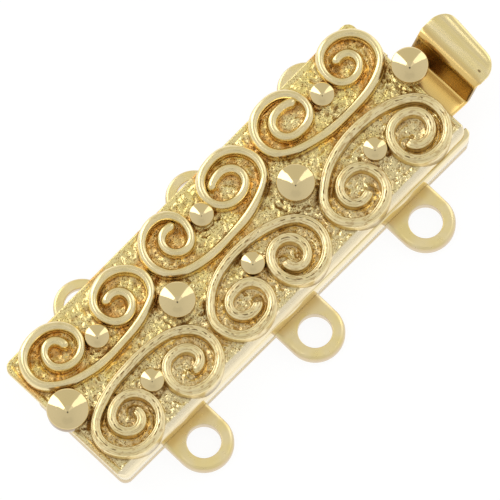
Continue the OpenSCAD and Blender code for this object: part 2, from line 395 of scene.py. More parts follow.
def satinSheet(graph, place):
    # tumbled sheet: soft dents, fine satin grain, a few rubs, painted shade on its steep faces
    wave = graph.noise(place, satinFinish["wave"], 1.0)
    grain = graph.noise(place, satinFinish["grain"], 2.0)
    rubs = graph.noise(place, satinFinish["rub"], 2.0).step(*satinFinish["rubLevel"])
    facing = graph.node("ShaderNodeTexCoord", {}, {}, "Normal")
    # painted shade: the more a face turns from upright, the darker its gold
    edge = 1 - abs(graph.dot(facing, (0, 0, 1))).step(*satinFinish["edgeTurn"])
    color = overlaid(graph, gold["warm"], (wave.step(0.3, 0.7), "pale"),
                     (edge * satinFinish["edge"], "edgeShade"))
    roughness = satinFinish["roughness"] + satinFinish["spread"] * grain
    roughness = roughness - satinFinish["rubShine"] * rubs
    height = grain + wave * (satinFinish["waveDepth"] / satinFinish["depth"])
    return color, roughness, graph.bump(height, satinFinish["depth"])


# painted shade on the base's upper face along the foot of the wall
wallFootShade = {
    "across": (-5.15, -4.6),    # from the rings' tabs up to the wall
    "height": (0.6, 0.64),      # on the upper face alone
    "strength": 0.4,
}


def baseSheet(graph, place):
    # the same sheet, duller and with painted shade where it closes the box, and painted shade along
    # the foot of the wall
    color, roughness, normal = satinSheet(graph, place)
    bare = insideBox(graph, place)
    # painted shade along the foot of the wall
    paintedShade = graph.dot(place, (0, 1 / mm, 0)).step(*wallFootShade["across"])
    paintedShade = paintedShade * graph.dot(place, (0, 0, 1 / mm)).step(*wallFootShade["height"])
    color = overlaid(graph, color, (bare * boxInside["dark"], "dark"),
                     (paintedShade * wallFootShade["strength"], "deep"))
    return color, roughness + satinFinish["bareRoughness"] * bare, normal


brightFinish = {
    "wave": 2.2,
    "depth": 0.02,
    "roughness": 0.07,
    "spread": 0.07,
    "scratch": 0.05,
    "scratchLevel": (0.62, 0.7),    # noise levels where a scratch begins and where it is full
    "scratchTint": 0.15,
    "scratchRoughness": 0.05,
    "bareRoughness": 0.4,   # added on the inside
}


def brightWall(graph, place):
    # buffed wall: nearly a mirror with a slow ripple and hair scratches, duller inside and darkened
    # there with painted shade
    wave = graph.noise(place, brightFinish["wave"], 1.0)
    scratch = graph.noise(place, brightFinish["scratch"], 2.0).step(*brightFinish["scratchLevel"])
    bare = insideBox(graph, place)
    color = overlaid(graph, gold["pale"], (scratch * brightFinish["scratchTint"], "warm"),
                     (bare * boxInside["dark"], "dark"))
    roughness = brightFinish["roughness"] + brightFinish["spread"] * wave
    roughness = roughness + brightFinish["scratchRoughness"] * scratch
    roughness = roughness + brightFinish["bareRoughness"] * bare
    return color, roughness, graph.bump(wave, brightFinish["depth"])


springFinish = {
    "streak": 0.3,
    # size of the patches in the painted shade
    "paintedShade": 1.3,
    "roughness": 0.16,
    "spread": 0.14,
    "depth": 0.006,
    # dark spot near the tab's corner: place along the leaf, place across it, radius
    "darkSpot": (16.33, -2.57, 0.075),
    "spotScale": 0.6,       # under 1 makes the spot longer across the leaf
    "spotEdge": (0.6, 1.1), # where its dark ends, as shares of the radius
    "spotDark": 0.8,
}


def springLeaf(graph, place):
    # rolled spring strip: streaks, painted reflection on its neck and bends, painted shade on its
    # riser and tab lines, a dark spot
    across = graph.node("ShaderNodeMapping", {}, {"Vector": place, "Scale": (1.0, 0.1, 1.0)})
    streaks = graph.noise(across, springFinish["streak"], 3.0, 0.7)
    warmReflection, creaseShade = map(graph.attribute, ("warmReflection", "creaseShade"))
    paintedShade = graph.noise(place, springFinish["paintedShade"], 1.0)
    x, y, radius = springFinish["darkSpot"]
    scale = (1 / mm, springFinish["spotScale"] / mm, 0)
    away = place
    for operation, by in (("SUBTRACT", (x * mm, y * mm, 0)), ("MULTIPLY", scale)):
        away = graph.node("ShaderNodeVectorMath", {"operation": operation}, {0: away, 1: by})
    away = graph.node("ShaderNodeVectorMath", {"operation": "LENGTH"}, {0: away}, "Value")
    inner, outer = springFinish["spotEdge"]
    darkSpot = 1 - away.step(radius * inner, radius * outer)
    # painted reflection on the neck and bends, painted shade on the riser, in the bends and along
    # the tab lines
    color = overlaid(graph, gold["warm"], (streaks.step(0.3, 0.7), "pale"),
                     (warmReflection * (0.8 + 0.4 * streaks), "warmReflection"),
                     (creaseShade * (0.5 + 0.5 * streaks + 0.3 * paintedShade), "paintedShade"),
                     (darkSpot * springFinish["spotDark"], "dark"))
    roughness = springFinish["roughness"] + springFinish["spread"] * streaks
    return color, roughness, graph.bump(streaks, springFinish["depth"])


# Mesh helpers


def meshPiece(name, points, faces, material, body, nodes):
    # points in millimetres, faces as lists of point numbers
    mesh = bpy.data.meshes.new(name)
    mesh.from_pydata([tuple(p) for p in np.asarray(points) * mm], [], faces)
    mesh.validate()
    mesh.polygons.foreach_set("use_smooth", [True] * len(mesh.polygons))
    mesh.materials.append(material)
    piece = bpy.data.objects.new(name, mesh)
    bpy.context.scene.collection.objects.link(piece)
    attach(piece, body)
    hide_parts(*nodes)
    return piece


def tubeFaces(rings, around):
    # quads between closed rings of points, one ring after another
    near = np.arange(around)
    beside = (near + 1) % around
    faces = []
    for ring in range(rings - 1):
        a = ring * around
        b = a + around
        faces += np.stack([a + near, a + beside, b + beside, b + near], axis=1).tolist()
    return faces


def tubeEnds(rings, around):
    # the two faces that close a tube
    last = (rings - 1) * around
    return [list(range(around))[::-1], [last + k for k in range(around)]]


def setAttribute(piece, name, kind, field, values):
    attribute = piece.data.attributes.new(name, kind, "POINT")
    attribute.data.foreach_set(field, np.asarray(values, dtype=np.float32).ravel())


def blurred(field, sigma):
    # under a Gaussian blur of sigma cells
    rows = np.fft.fftfreq(field.shape[0])[:, None]
    columns = np.fft.rfftfreq(field.shape[1])[None, :]
    blur = np.exp(-2 * (math.pi * sigma) ** 2 * (rows ** 2 + columns ** 2))
    return np.fft.irfft2(np.fft.rfft2(field) * blur, field.shape)


def softNoise(shape, sigma, seed):
    # blurred white noise, with mean 0 and spread 1
    field = blurred(np.random.default_rng(seed).standard_normal(shape), sigma)
    return (field - field.mean()) / field.std()


def softStep(values, low, high):
    share = np.clip((values - low) / (high - low), 0, 1)
    return share * share * (3 - 2 * share)


# Scroll lines

# Columns: eye along the plate, eye across it, radius at each quarter turn from the backbone inwards
# (8 columns), angle of the wire's end.
scrolls = {
    "spirals": [
        [[-11.00, 2.75, 1.35, 2.05, 1.60, 1.45, 0.90, 0.80, 0.80, 0.50, 650],
         [-7.00, 2.45, 1.40, 2.30, 1.40, 0.95, 0.95, 0.90, 0.50, 0.45, 590]],
        [[-1.95, 2.70, 2.05, 2.05, 1.50, 0.90, 0.90, 0.85, 0.65, 0.70, 588],
         [2.05, 2.75, 1.85, 2.25, 1.50, 1.25, 1.00, 1.10, 0.70, 0.85, 610]],
        [[7.25, 2.75, 1.30, 2.25, 1.65, 1.15, 0.80, 1.15, 0.85, 1.00, 604],
         [11.40, 2.75, 1.80, 2.05, 1.55, 1.05, 0.85, 0.85, 0.55, 0.60, 580]],
        [[-10.90, -2.40, 1.30, 2.10, 1.85, 1.45, 0.95, 0.95, 0.85, 0.45, 640],
         [-6.95, -2.70, 2.05, 2.20, 1.55, 1.00, 0.95, 1.15, 0.35, 0.40, 520]],
        [[-1.80, -2.50, 1.50, 2.20, 1.60, 1.15, 0.80, 1.05, 0.75, 0.50, 582],
         [1.70, -2.45, 1.70, 2.10, 1.75, 1.25, 0.95, 0.90, 0.90, 0.50, 635]],
        [[7.15, -2.60, 1.50, 2.35, 1.60, 1.10, 1.10, 1.20, 0.55, 0.55, 560],
         [11.30, -2.40, 1.75, 1.90, 1.85, 1.35, 1.00, 1.10, 1.00, 0.65, 612]],
    ],
    # how far the wire runs on from its left and its right spiral before it bends into the backbone
    "runOn": [[2.6, 1.0], [1.9, 1.5], [1.8, 1.8], [1.6, 2.0], [2.8, 1.5], [3.2, 1.6]],
    "upperCount": 3,        # the first rows open towards +Y
    "joinAngle": 60,        # where a spiral runs into its backbone
    "spiralPoints": 400,
    "backbonePoints": 120,
    "turn": 0.6,            # of the whole plate, in degrees
}


def spiralLine(row, side, far):
    # radius as a cubic through the quarter turns; side is -1 at the left, far is -1 in a lower row
    radii = np.array(row[2:10])
    a = np.linspace(scrolls["joinAngle"], row[10], scrolls["spiralPoints"])
    quarter = np.floor(a / 90).astype(int)
    t = a / 90 - quarter
    r0, r1, r2, r3 = (radii[np.clip(quarter + k, 0, len(radii) - 1)] for k in (-1, 0, 1, 2))
    bend = 2 * r0 - 5 * r1 + 4 * r2 - r3 + t * (3 * r1 - r0 - 3 * r2 + r3)
    radius = r1 + t * (r2 - r0 + t * bend) / 2
    a = np.radians(a)
    out = np.stack([side * radius * np.sin(a), -far * radius * np.cos(a)], axis=1)
    return np.array(row[:2]) + out


def runOn(line, reach):
    # where the wire would be if it ran straight on from its backbone end
    heading = line[0] - line[1]
    return line[0] + heading * (reach / np.linalg.norm(heading))


def scrollLine(index):
    # crest line of a scroll, evenly spaced: left spiral outwards, backbone, right spiral inwards
    far = 1 if index < scrolls["upperCount"] else -1
    rows = scrolls["spirals"][index]
    left, right = (spiralLine(row, side, far) for row, side in zip(rows, (-1, 1)))
    reaches = scrolls["runOn"][index]
    points = [left[0], runOn(left, reaches[0]), runOn(right, reaches[1]), right[0]]
    t = np.linspace(0, 1, scrolls["backbonePoints"])[1:-1, None]
    weights = [(1 - t) ** 3, 3 * t * (1 - t) ** 2, 3 * t * t * (1 - t), t ** 3]
    backbone = sum(w * p for w, p in zip(weights, points))
    line = np.concatenate([left[::-1], backbone, right])
    return evenly(line, wire["step"])


def evenly(line, step):
    lengths = np.append(0, np.cumsum(np.hypot(*np.diff(line, axis=0).T)))
    run = np.linspace(0, lengths[-1], int(lengths[-1] / step) + 1)
    return np.stack([np.interp(run, lengths, line[:, k]) for k in (0, 1)], axis=1)


def turned(points):
    # from the plate's own axes to the frame, as the plate sits on the box
    angle = math.radians(scrolls["turn"])
    out = np.array(points, dtype=float)
    x = out[:, 0].copy()
    out[:, 0] = x * math.cos(angle) - out[:, 1] * math.sin(angle)
    out[:, 1] = x * math.sin(angle) + out[:, 1] * math.cos(angle)
    return out


# Scroll wires

wire = {
    "width": 0.57,
    "height": 0.8,          # of the crest over the ground
    "ground": 2.9,
    "sink": 0.5,            # foot below the ground
    "topPoints": 17,
    "step": 0.085,
    "tip": 0.3,             # length of the rounded end
    "tipWidth": 0.15,       # of its last ring, as a share of the width
    "tipLift": 0.45,        # and its height, as a share of the height
    "sway": 0.012,          # to the sides, in millimetres
    "widthSway": 0.03,      # and of width and height, as shares
    "heightSway": 0.012,
    "swaySteps": 6,
    "seed": 11,
    # columns: height of the rounded top, squareness (2 is a half circle), depth of the two grooves
    "upper": (0.37, 2.1, 0.0),
    "lower": (0.24, 2.8, 0.045),
    "groove": (0.45, 0.13), # place and width of a groove, as shares of half the width
    "laneStretch": 0.35,    # of the drawn lines along the wire
    "laneShift": 3.7,       # between the lanes of one wire and those of the next
}


def wireSection(row):
    # across and height of the section's points, as shares of half the width and in millimetres
    top, squareness, groove = wire[row]
    power = 2 / squareness
    a = np.linspace(math.pi, 0, wire["topPoints"])
    across = np.sign(np.cos(a)) * np.abs(np.cos(a)) ** power
    rise = wire["height"] - top + top * np.sin(a) ** power
    place, width = wire["groove"]
    rise = rise - groove * np.exp(-((np.abs(across) - place) / width) ** 2)
    middle = (wire["height"] - top) * 0.45
    across = np.concatenate([[-1.04, -1.0], across, [1.0, 1.04]])
    rise = np.concatenate([[-wire["sink"], middle], rise, [middle, -wire["sink"]]])
    return across, rise


def sweptWire(index, line):
    # points and faces, and for each point its lane in the drawn lines and its share of the way down
    across, rise = wireSection("upper" if index < scrolls["upperCount"] else "lower")
    count, around = len(line), len(across)
    tangent = np.gradient(line, axis=0)
    tangent /= np.linalg.norm(tangent, axis=1)[:, None]
    side = np.stack([tangent[:, 1], -tangent[:, 0]], axis=1)
    run = np.arange(count) * wire["step"]
    fromEnd = np.minimum(run, run[-1] - run)
    tip = np.sqrt(np.clip(1 - (1 - np.clip(fromEnd / wire["tip"], 0, 1)) ** 2, 0, 1))
    sway = softNoise((3, count), wire["swaySteps"], wire["seed"] + index)
    line = line + side * (sway[0] * wire["sway"])[:, None]
    half = wire["width"] / 2 * np.maximum(tip, wire["tipWidth"]) * (1 + wire["widthSway"] * sway[1])
    lift = wire["tipLift"] + (1 - wire["tipLift"]) * tip
    lift = lift * (1 + wire["heightSway"] * sway[2])
    points = np.empty((count, around, 3))
    points[:, :, :2] = line[:, None, :] + side[:, None, :] * (half[:, None] * across)[:, :, None]
    points[:, :, 2] = wire["ground"] + np.where(rise > 0, rise * lift[:, None], rise)
    girth = np.append(0, np.cumsum(np.hypot(np.diff(across) * wire["width"] / 2, np.diff(rise))))
    girth = girth - girth[around // 2]
    lanes = (run[:, None] * wire["laneStretch"], girth[None, :], index * wire["laneShift"])
    lanes = np.stack(np.broadcast_arrays(*lanes), axis=2)
    foot = np.broadcast_to(1 - np.clip(rise / wire["height"], 0, 1), (count, around))
    faces = tubeFaces(count, around) + tubeEnds(count, around)
    return points.reshape(-1, 3), faces, lanes.reshape(-1, 3), foot.ravel()


def addWires(lines, material):
    for index, line in enumerate(lines):
        points, faces, lanes, foot = sweptWire(index, line)
        piece = meshPiece(f"scrollWire_{index + 1}", turned(points), faces, material,
                          "box", ["ornament_plate"])
        setAttribute(piece, "run", "FLOAT_VECTOR", "vector", lanes)
        setAttribute(piece, "foot", "FLOAT", "value", foot)


lines = [scrollLine(k) for k in range(len(scrolls["spirals"]))]
addWires(lines, metal("scrollWire", scrollWire))
print("scroll wires swept:", sum(len(line) for line in lines), "rings")

# Balls

balls = {
    # columns: place along the plate, place across it, radius
    "large": {"top": 4.49, "places": [[-13.0, 0.15, 1.16], [-4.5, 0.1, 1.02],
                                      [4.7, 0.02, 1.07], [13.8, 0.12, 1.03]]},
    "small": {"top": 3.9, "places": [[-8.9, 1.9, 0.68], [-0.05, 2.55, 0.68], [9.4, 2.5, 0.68],
                                     [-8.6, -1.95, 0.67], [-0.1, -1.35, 0.67], [9.15, -1.7, 0.68]]},
    "cone": 1.2,            # slope that the polished cap, a hyperboloid, nears at its rim
    "blunt": 1.4,           # roundness of its top, as a share of the radius
    "rim": 0.13,            # rounding under the cap, as a share of the radius
    "shade": (-0.085, 0.02),    # painted shade from none to full, down from the widest point, as shares of the radius
    "foot": 0.12,           # depth of a ball's lowest point in the ground
    "squareness": 4,        # of the undercut lower half
    "around": 72,
    "steps": (22, 7, 12),   # of the cap, the rounded rim and the undercut
    "lowest": 0.97,         # share of the undercut's full depth that is built
}


def ballProfile(radius, top):
    # distance from the axis and height, from the top down: cap, rounded rim, undercut
    rim, cone, blunt = balls["rim"] * radius, balls["cone"], balls["blunt"] * radius
    capSteps, rimSteps, underSteps = balls["steps"]
    slope = math.atan(cone ** 2 * radius / math.hypot(blunt, cone * radius))
    out = np.linspace(0, radius - rim * (1 - math.sin(slope)), capSteps)[1:]
    cap = np.stack([out, top + blunt - np.hypot(blunt, cone * out)], axis=1)
    waist = cap[-1, 1] - rim * math.cos(slope)
    a = np.linspace(slope, math.pi / 2, rimSteps)[1:]
    bend = np.stack([radius - rim + rim * np.sin(a), waist + rim * np.cos(a)], axis=1)
    depth = waist - wire["ground"] + balls["foot"]
    share = np.linspace(0, balls["lowest"], underSteps)[1:]
    power = balls["squareness"]
    across = radius * (1 - share ** power) ** (1 / power)
    under = np.stack([across, waist - depth * share], axis=1)
    return np.concatenate([cap, bend, under])


def ballMesh(x, y, radius, top):
    # points and faces, and how far each point is under the rim
    around = balls["around"]
    profile = ballProfile(radius, top)
    turn = np.arange(around) * 2 * math.pi / around
    across, height = profile.T
    rings = np.stack([np.outer(across, np.cos(turn)), np.outer(across, np.sin(turn)),
                      np.outer(height, np.ones(around))], axis=2).reshape(-1, 3)
    points = np.concatenate([rings, [[0, 0, top]]]) + [x, y, 0]
    faces = [face[::-1] for face in tubeFaces(len(profile), around)]
    last = (len(profile) - 1) * around
    faces.append([last + k for k in range(around)][::-1])
    faces += [[len(rings), k, (k + 1) % around] for k in range(around)]
    widest = height[np.argmax(across)]
    return points, faces, softStep((widest - points[:, 2]) / radius, *balls["shade"])


def addBalls(material):
    for size in ("large", "small"):
        for number, (x, y, radius) in enumerate(balls[size]["places"], 1):
            points, faces, under = ballMesh(x, y, radius, balls[size]["top"])
            piece = meshPiece(f"{size}Ball_{number}", turned(points), faces, material,
                              "box", ["ornament_plate"])
            setAttribute(piece, "under", "FLOAT", "value", under)


addBalls(metal("mirrorBall", mirrorBall))
print("balls set")

# Ground plate

plate = {
    "length": 27.1,
    "width": 9.05,
    "corner": 0.5,
    "cell": 0.056,
    "rim": 0.3,             # smooth band along the edges
    "rimBlend": 0.14,       # from the band to the full relief
    "edge": 0.09,           # rounding of the upper edge
    "roll": (0.38, 0.4),    # width and drop of the rubbed edge over the box's rings
    "rollPower": 1.25,
    "step": 0.05,           # from the smooth band up to the ground
    "swell": 0.035,         # heights: slow rise and fall of the ground
    "crinkle": 0.05,        # worm-like ridges
    "granule": 0.01,
    "pit": 0.12,
    "fillet": 0.1,          # metal drawn up at the foot of wires and balls
    "filletWidth": 0.07,
    # sizes of swell, broad ridges, narrow ridges, granules, pits and the patches of livelier ground
    "sizes": (0.8, 0.13, 0.085, 0.055, 0.075, 1.5),
    "lively": (-2.5, 2.0),  # across the plate, from the calm ground to the lively one
    "stray": 0.8,           # how far the patches shift that border
    "creaseShade": 0.09,         # width of the painted shade along wires and balls
    "recess": 0.42,         # reach of the painted shade between wires that stand close
    "enclosed": (0.32, 0.5),    # share of wire within that reach where it begins and is full
    "hollow": (4, 0.06),    # blur in cells, and the depth under the blurred ground with the darkest painted shade
    # columns: level, inset of the rings of points down the sides
    "sides": [(2.71, 0), (2.42, 0), (2.33, 0.01), (2.3, 0.04)],
    "ballFoot": 0.8,        # radius of a ball where it meets the ground, as a share of its own
    "seed": 5,
}


def footDistance(points, lines):
    # distance of each point from the nearest side of a wire or ball at the ground
    places = np.concatenate(lines)
    tree = KDTree(len(places))
    for k, (x, y) in enumerate(places):
        tree.insert((x, y, 0), k)
    tree.balance()
    distance = np.array([tree.find((x, y, 0))[2] for x, y in points]) - wire["width"] / 2
    for x, y, radius in balls["large"]["places"] + balls["small"]["places"]:
        distance = np.minimum(distance, np.hypot(*(points - [x, y]).T) - plate["ballFoot"] * radius)
    return distance


def groundHeight(x, y, inside, foot):
    # height over the mean level; inside and foot are the distances to the outline and to the wires
    cell, seed = plate["cell"], plate["seed"]
    fields = [softNoise(x.shape, size / cell, seed + k) for k, size in enumerate(plate["sizes"])]
    swell, broad, narrow, granule, pits, patch = fields
    ridges = 0.6 * (0.8 - np.abs(broad)) + 0.4 * (0.8 - np.abs(narrow))
    lively = softStep(y + plate["stray"] * patch, *plate["lively"])
    height = plate["swell"] * swell
    height += plate["crinkle"] * (0.35 + 0.65 * lively) * ridges
    height += plate["granule"] * (1.5 - 0.7 * lively) * granule
    height -= plate["pit"] * softStep(pits, 2.0, 2.9)
    height += plate["fillet"] * np.exp(-np.clip(foot, 0, None) / plate["filletWidth"])
    rim = plate["rim"]
    free = softStep(inside, rim, rim + plate["rimBlend"])
    height = height * free - plate["step"] * (softStep(inside, rim * 0.8, rim * 1.1) * (1 - free))
    width, depth = plate["roll"]
    rolled = 1 - np.clip((y + plate["width"] / 2) / width, 0, 1)
    height = height * (1 - softStep(rolled, 0, 0.2)) - depth * rolled ** plate["rollPower"]
    drop = plate["edge"] - np.clip(inside, 0, plate["edge"])
    rounding = plate["edge"] - np.sqrt(np.clip(plate["edge"] ** 2 - drop ** 2, 0, None))
    return height - rounding


def addGround(lines, material):
    # a grid of cells for the upper face, rings of points down the sides, and one face below
    halfLength, halfWidth = plate["length"] / 2, plate["width"] / 2
    nx, ny = (int(plate[name] / plate["cell"]) + 1 for name in ("length", "width"))
    across = np.linspace(-halfWidth, halfWidth, ny)
    y, x = np.meshgrid(across, np.linspace(-1, 1, nx), indexing="ij")
    corner = plate["corner"]
    past = np.clip(np.abs(y) - (halfWidth - corner), 0, corner)
    reach = halfLength - corner + np.sqrt(corner ** 2 - past ** 2)
    x = x * reach
    inside = np.minimum(reach - np.abs(x), halfWidth - np.abs(y))
    foot = footDistance(np.stack([x.ravel(), y.ravel()], axis=1), lines).reshape(x.shape)
    height = groundHeight(x, y, inside, foot)
    top = np.stack([x, y, wire["ground"] + height], axis=2).reshape(-1, 3)
    grid = np.arange(nx * ny).reshape(ny, nx)
    faces = np.stack([grid[:-1, :-1], grid[:-1, 1:], grid[1:, 1:], grid[1:, :-1]], axis=2)
    faces = faces.reshape(-1, 4).tolist()
    border = np.concatenate([grid[0, :-1], grid[:-1, -1], grid[-1, :0:-1], grid[:0:-1, 0]])
    middle = top[border] * np.array([1, 1, 0])
    sides = []
    for level, inset in plate["sides"]:
        ring = middle * (1 - inset / np.linalg.norm(middle, axis=1))[:, None]
        ring[:, 2] = np.minimum(level, top[border, 2] - 0.02 * (len(sides) + 1))
        sides.append(ring)
    points = np.concatenate([top] + sides)
    around = np.arange(len(border))
    rings = [border] + [nx * ny + k * len(border) + around for k in range(len(sides))]
    beside = np.roll(around, -1)
    for upper, lower in zip(rings[:-1], rings[1:]):
        faces += np.stack([upper, lower, lower[beside], upper[beside]], axis=1).tolist()
    faces.append(rings[-1][::-1].tolist())
    piece = meshPiece("groundPlate", turned(points), faces, material,
                      "box", ["ornament_plate"])
    rolled = plate["roll"][0]
    blur, deepest = plate["hollow"]
    enclosed = blurred(np.clip(-foot / 0.05, 0, 1), plate["recess"] / plate["cell"])
    shares = {
        # painted shade in the ground's hollows
        "hollow": np.clip((blurred(height, blur) - height) / deepest, 0, 1),
        # painted shade in the crease at the foot of wires and balls
        "creaseShade": 1 - softStep(foot, 0.0, plate["creaseShade"]),
        # painted sheen along the rolled edge, whose relief is also smoothed
        "rim": 1 - softStep(y + halfWidth, rolled, rolled * 1.25),
        # painted shade between wires that stand close, more on the +Y half
        "recess": softStep(enclosed, *plate["enclosed"]) * (0.3 + 0.7 * softStep(y, -0.6, 0.6)),
    }
    for name, share in shares.items():
        plain = np.zeros(len(points) - nx * ny)
        setAttribute(piece, name, "FLOAT", "value", np.append(share.ravel(), plain))


addGround(lines, metal("castGround", castGround))
print("ground plate raised")

# Stamped sheets: base plate and tongue with their rings

sheet = {
    "boxStart": -13.25,     # closed end
    "boxEnd": 13.75,        # thumb end
    "boxNear": -4.55,       # side of the box's own rings
    "boxFar": 2.35,
    "corner": 0.5,
    "pitch": 8.65,
    "thick": 0.65,          # of the base
    "ringEdge": 0.24,       # rounding of its upper edges
    "lowerEdge": 0.1,
    "holeEdge": 0.04,       # and of a hole's punched edge
    "arcSteps": 10,         # in a quarter of a corner
    # columns: middle ring's place along and across, outer radius, hole's radius, slant of the row
    "boxRings": (0.1, -5.9, 1.65, 0.95, 0.0),
    "tongueRings": (0.8, 3.96, 1.6, 1.03, -0.008),
}


def arc(cx, cy, radius, start, end, steps):
    a = np.radians(np.linspace(start, end, steps + 1))
    return [(cx + radius * math.cos(t), cy + radius * math.sin(t)) for t in a]


def ringedOutline(x0, y0, x1, y1, corner, row):
    # counter-clockwise rectangle with round corners and a row of ring tabs on one side
    middle, ringY, radius, hole, slant = row
    pitch, steps = sheet["pitch"], sheet["arcSteps"]
    centres = [(middle + k * pitch, ringY + k * pitch * slant) for k in (-1, 0, 1)]
    low = ringY < y0
    tabs = []
    for x, y in centres if low else centres[::-1]:
        start, foot, out = (180, y0, radius) if low else (0, y1, -radius)
        tab = arc(x, y, radius, start, start + 180, steps * 5)
        tabs += [(x - out, foot)] + tab + [(x + out, foot)]
    outline = arc(x0 + corner, y0 + corner, corner, 180, 270, steps)
    outline += (tabs if low else []) + arc(x1 - corner, y0 + corner, corner, 270, 360, steps)
    outline += arc(x1 - corner, y1 - corner, corner, 0, 90, steps)
    outline += ([] if low else tabs) + arc(x0 + corner, y1 - corner, corner, 90, 180, steps)
    holes = [arc(x, y, hole, 360, 0, steps * 8)[:-1] for x, y in centres]
    return [outline] + holes


def inward(loop):
    # miter direction at each point of a loop, towards the metal on its left
    points = np.array(loop)
    ahead = np.roll(points, -1, axis=0) - points
    ahead /= np.linalg.norm(ahead, axis=1)[:, None]
    behind = np.roll(ahead, 1, axis=0)
    normal = np.stack([-(ahead + behind)[:, 1], (ahead + behind)[:, 0]], axis=1)
    normal /= np.linalg.norm(normal, axis=1)[:, None]
    left = np.stack([-ahead[:, 1], ahead[:, 0]], axis=1)
    share = np.clip(np.sum(normal * left, axis=1), 0.5, 1)
    return normal / share[:, None]


def capFaces(rings):
    # triangles over an outline and round its holes, as numbers of the rings' points
    flat = np.concatenate(rings)
    edges, start = [], 0
    for ring in rings:
        edges += [(start + k, start + (k + 1) % len(ring)) for k in range(len(ring))]
        start += len(ring)
    _, _, faces, origins = delaunay_2d_cdt([Vector(p) for p in flat], edges, [], 1, 1e-7)[:4]
    faces = np.array([[origins[k][0] for k in face] for face in faces])
    middle = flat[faces].mean(axis=1)
    crossings = np.zeros(len(faces), dtype=int)
    for a, b in edges:
        (ax, ay), (bx, by) = flat[a], flat[b]
        spans = (ay > middle[:, 1]) != (by > middle[:, 1])
        if ay != by:
            crossings += spans & (middle[:, 0] < ax + (middle[:, 1] - ay) * (bx - ax) / (by - ay))
    return faces[crossings % 2 == 1]


def bevelledSheet(loops, low, high, upperEdge, lowerEdge, steps=6, holeEdge=None):
    # closed solid over loops, first the outline and then its holes, with rounded edges
    a = np.radians(np.linspace(0, 90, steps + 1))
    points, faces, caps = [], [], [[], []]
    for number, loop in enumerate(loops):
        upper = holeEdge if number and holeEdge else upperEdge
        lower = min(lowerEdge, upper)
        profile = [(lower * 1.6, low)]
        profile += [(lower * (1 - math.sin(t)), low + lower * (1 - math.cos(t))) for t in a]
        profile += [(upper * (1 - math.cos(t)), high - upper * (1 - math.sin(t))) for t in a]
        profile += [(upper * 1.25, high)]
        flat, normal, start, count = np.array(loop), inward(loop), len(points), len(loop)
        for inset, z in profile:
            points += [(x, y, z) for x, y in flat + normal * inset]
        faces += [[start + k for k in face] for face in tubeFaces(len(profile), count)]
        caps[0].append(list(range(start, start + count)))
        last = start + (len(profile) - 1) * count
        caps[1].append(list(range(last, last + count)))
    for cap, down in zip(caps, (True, False)):
        numbers = np.concatenate(cap)
        for face in capFaces([np.array([points[k][:2] for k in ring]) for ring in cap]):
            corners = numbers[face].tolist()
            p, q, r = (np.array(points[k])[:2] for k in corners)
            up = (q - p)[0] * (r - p)[1] - (q - p)[1] * (r - p)[0] > 0
            faces.append(corners if up != down else corners[::-1])
    return points, faces


def addBase(material):
    loops = ringedOutline(sheet["boxStart"], sheet["boxNear"], sheet["boxEnd"], sheet["boxFar"],
                          sheet["corner"], sheet["boxRings"])
    points, faces = bevelledSheet(loops, 0.0, sheet["thick"], sheet["ringEdge"], sheet["lowerEdge"],
                                  holeEdge=sheet["holeEdge"])
    meshPiece("basePlate", points, faces, material, "box", ["base_plate"])


tongue = {
    "foldX": -11.9,
    "foldZ": 1.45,
    "foldRadius": 0.525,    # middle of the sheet
    "endX": 13.45,
    "near": -3.95,
    "far": 1.75,
    "low": 0.70,
    "high": 1.15,
    "corner": 0.3,
    "edge": 0.16,
    "lowerEdge": 0.06,
    "foldAcross": 20,       # points over the fold's width
    "foldSteps": 25,
}


def addTongueRail(material):
    loops = ringedOutline(tongue["foldX"], tongue["near"], tongue["endX"], tongue["far"],
                          tongue["corner"], sheet["tongueRings"])
    points, faces = bevelledSheet(loops, tongue["low"], tongue["high"], tongue["edge"],
                                  tongue["lowerEdge"], holeEdge=sheet["holeEdge"])
    meshPiece("tongueRail", points, faces, material, "tongue", ["tongue_rail"])


# Folded box wall

shell = {
    "low": 0.67,
    "high": 2.28,
    "wall": 0.5,
    "mouthCorner": 0.35,
    "slotX": -9.55,
    "slotTop": 1.35,
    "overlap": 0.3,         # of the two shells, along the wall
    "edge": 0.07,
    "edgeSteps": 3,
}


def addShell(material):
    # the slotted side is two shells that meet in the wall: a stub up to the slot, a strip over it
    start, end, near, far = (sheet[name] for name in ("boxStart", "boxEnd", "boxNear", "boxFar"))
    corner, steps = sheet["corner"], sheet["arcSteps"]
    wall, tight = shell["wall"], shell["mouthCorner"]
    body = arc(start + corner, near + corner, corner, 180, 270, steps)
    body += arc(end - tight, near + tight, tight, 270, 360, steps)
    body += [(end, near + wall), (start + wall, near + wall), (start + wall, far - wall)]
    body += [(shell["slotX"], far - wall), (shell["slotX"], far)]
    body += arc(start + corner, far - corner, corner, 90, 180, steps)
    stripX = shell["slotX"] - shell["overlap"]
    strip = [(stripX, far - wall), (end, far - wall)]
    strip += arc(end - tight, far - tight, tight, 0, 90, steps) + [(stripX, far)]
    points, faces = [], []
    for loop, low in ((body, shell["low"]), (strip, shell["slotTop"])):
        made, madeFaces = bevelledSheet([loop], low, shell["high"], shell["edge"], shell["edge"],
                                        shell["edgeSteps"])
        faces += [[k + len(points) for k in face] for face in madeFaces]
        points += made
    meshPiece("boxShell", points, faces, material, "box", ["box_shell"])


# Spring leaf

